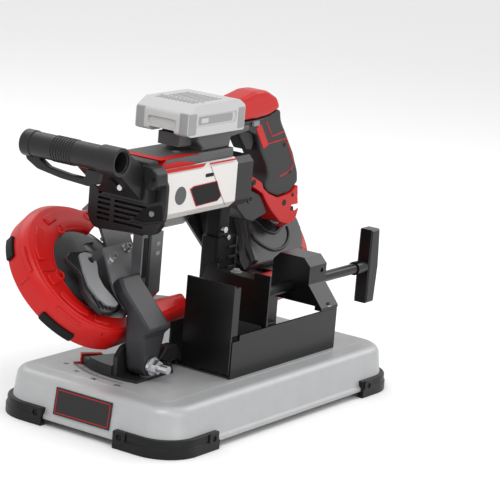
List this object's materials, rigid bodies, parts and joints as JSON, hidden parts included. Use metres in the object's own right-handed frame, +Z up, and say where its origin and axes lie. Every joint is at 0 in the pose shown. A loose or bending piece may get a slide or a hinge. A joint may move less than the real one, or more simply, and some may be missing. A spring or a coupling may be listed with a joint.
{
  "type": "horizontal band saw",
  "caption": "Benchtop horizontal band saw for metal: a battery saw head with tilted wheels, hinged on a swivel over a pressed base with a screw vise.",
  "frame": {"origin": "under the middle of the machine's bounding box, at the feet's soles", "axes": "+X along the blade's cutting run from the idler wheel to the drive wheel, +Y from the vise side to the wheel side, +Z up"},
  "size_m": [0.5638, 0.2972, 0.3776],
  "materials": {
    "red": "satin",
    "shell": "satin",
    "pan": "satin",
    "plastic": "matte",
    "rubber": "matte",
    "casting": "satin",
    "vise": "satin",
    "pack": "matte",
    "cap": "satin",
    "steel": "brushed",
    "aluminium": "satin"
  },
  "bodies": {
    "stand": {"base_pan": "pan", "front_left_foot": "rubber", "rear_left_foot": "rubber", "front_right_foot": "rubber", "rear_right_foot": "rubber", "badge_plate": "plastic", "swivel_post": "steel", "vise_channel": "vise", "fixed_jaw": "vise", "screw_housing": "vise", "screw_nut": "steel", "angle_lock_knob": "plastic"},
    "swivel": {"swivel_bracket": "plastic", "angle_pointer": "red", "hinge_bolt": "steel", "hinge_nut": "steel"},
    "head": {"head_arm": "casting", "arm_plate": "aluminium", "head_frame": "plastic", "idler_axle": "steel", "left_cover": "red", "right_cover": "red", "wheel_door": "plastic", "gear_case": "casting", "left_guide_shoe": "steel", "right_guide_block": "plastic", "blade": "steel", "end_housing": "plastic", "motor_shell_near": "shell", "motor_shell_far": "shell", "motor_can": "steel", "motor_armature": "steel", "top_shell": "plastic", "rear_collar": "plastic", "front_collar": "plastic", "gearbox": "casting", "front_handle": "plastic", "battery_mount": "plastic", "grip_near": "rubber", "grip_far": "rubber", "grip_cap": "red", "grip_root": "red"},
    "idler": {"idler_wheel": "aluminium", "idler_tyre": "rubber"},
    "drive": {"drive_wheel": "aluminium", "drive_tyre": "rubber", "drive_shaft": "steel", "drive_gear": "steel"},
    "back_guide": {"back_roller": "steel"},
    "near_guide": {"near_side_roller": "steel"},
    "far_guide": {"far_side_roller": "steel"},
    "lever": {"tension_lever": "plastic", "lever_cap": "cap"},
    "battery": {"battery_pack": "pack"},
    "trigger": {"trigger": "plastic"},
    "lock": {"lock_switch": "cap"},
    "jaw": {"movable_jaw": "vise"},
    "screw": {"vise_screw": "vise", "vise_handle": "vise"}
  },
  "joints": [
    {"name": "swivel_turn", "type": "hinge", "parent": "stand", "child": "swivel", "pos_m": [-0.09809, -0.01061, 0.058], "axis": [0, 0, 1], "range_deg": [0, 45]},
    {"name": "head_lift", "type": "hinge", "parent": "swivel", "child": "head", "pos_m": [-0.18149, -0.02661, 0.0765], "axis": [0, -1, 0], "range_deg": [0, 30]},
    {"name": "drive_spin", "type": "hinge", "parent": "head", "child": "drive", "pos_m": [0.15691, 0.0663, 0.16251], "axis": [0, -0.7071, 0.7071], "continuous": true},
    {"name": "idler_spin", "type": "hinge", "parent": "head", "child": "idler", "pos_m": [-0.18709, 0.0663, 0.16251], "axis": [0, -0.7071, 0.7071], "continuous": true},
    {"name": "back_roller_spin", "type": "hinge", "parent": "head", "child": "back_guide", "pos_m": [0.02191, 0.01539, 0.1235], "axis": [0, 1, 0], "continuous": true},
    {"name": "near_roller_spin", "type": "hinge", "parent": "head", "child": "near_guide", "pos_m": [0.00791, 0.00919, 0.118], "axis": [0, 0, 1], "continuous": true},
    {"name": "far_roller_spin", "type": "hinge", "parent": "head", "child": "far_guide", "pos_m": [0.00791, 0.02159, 0.118], "axis": [0, 0, 1], "continuous": true},
    {"name": "tension_turn", "type": "hinge", "parent": "head", "child": "lever", "pos_m": [-0.19909, 0.04296, 0.18868], "axis": [0, 0.7071, -0.7071], "range_deg": [0, 100]},
    {"name": "battery_slide", "type": "slide", "parent": "head", "child": "battery", "axis": [-1, 0, 0], "range_m": [0, 0.09]},
    {"name": "trigger_pull", "type": "slide", "parent": "head", "child": "trigger", "axis": [0.8212, 0, 0.5707], "range_m": [0, 0.006], "stiffness_N_per_m": 400},
    {"name": "lock_slide", "type": "slide", "parent": "head", "child": "lock", "axis": [1, 0, 0], "range_m": [0, 0.005]},
    {"name": "jaw_slide", "type": "slide", "parent": "stand", "child": "jaw", "axis": [1, 0, 0], "range_m": [-0.0441, 0.0561]},
    {"name": "screw_turn", "type": "hinge", "parent": "jaw", "child": "screw", "pos_m": [0.09691, -0.05261, 0.134], "axis": [1, 0, 0], "range_deg": [-3960, 5040]}
  ],
  "couplings": [
    {"joint": "idler_spin", "follows": "drive_spin", "ratio": 1},
    {"joint": "jaw_slide", "follows": "screw_turn", "m_per_rad": 0.00063662}
  ]
}
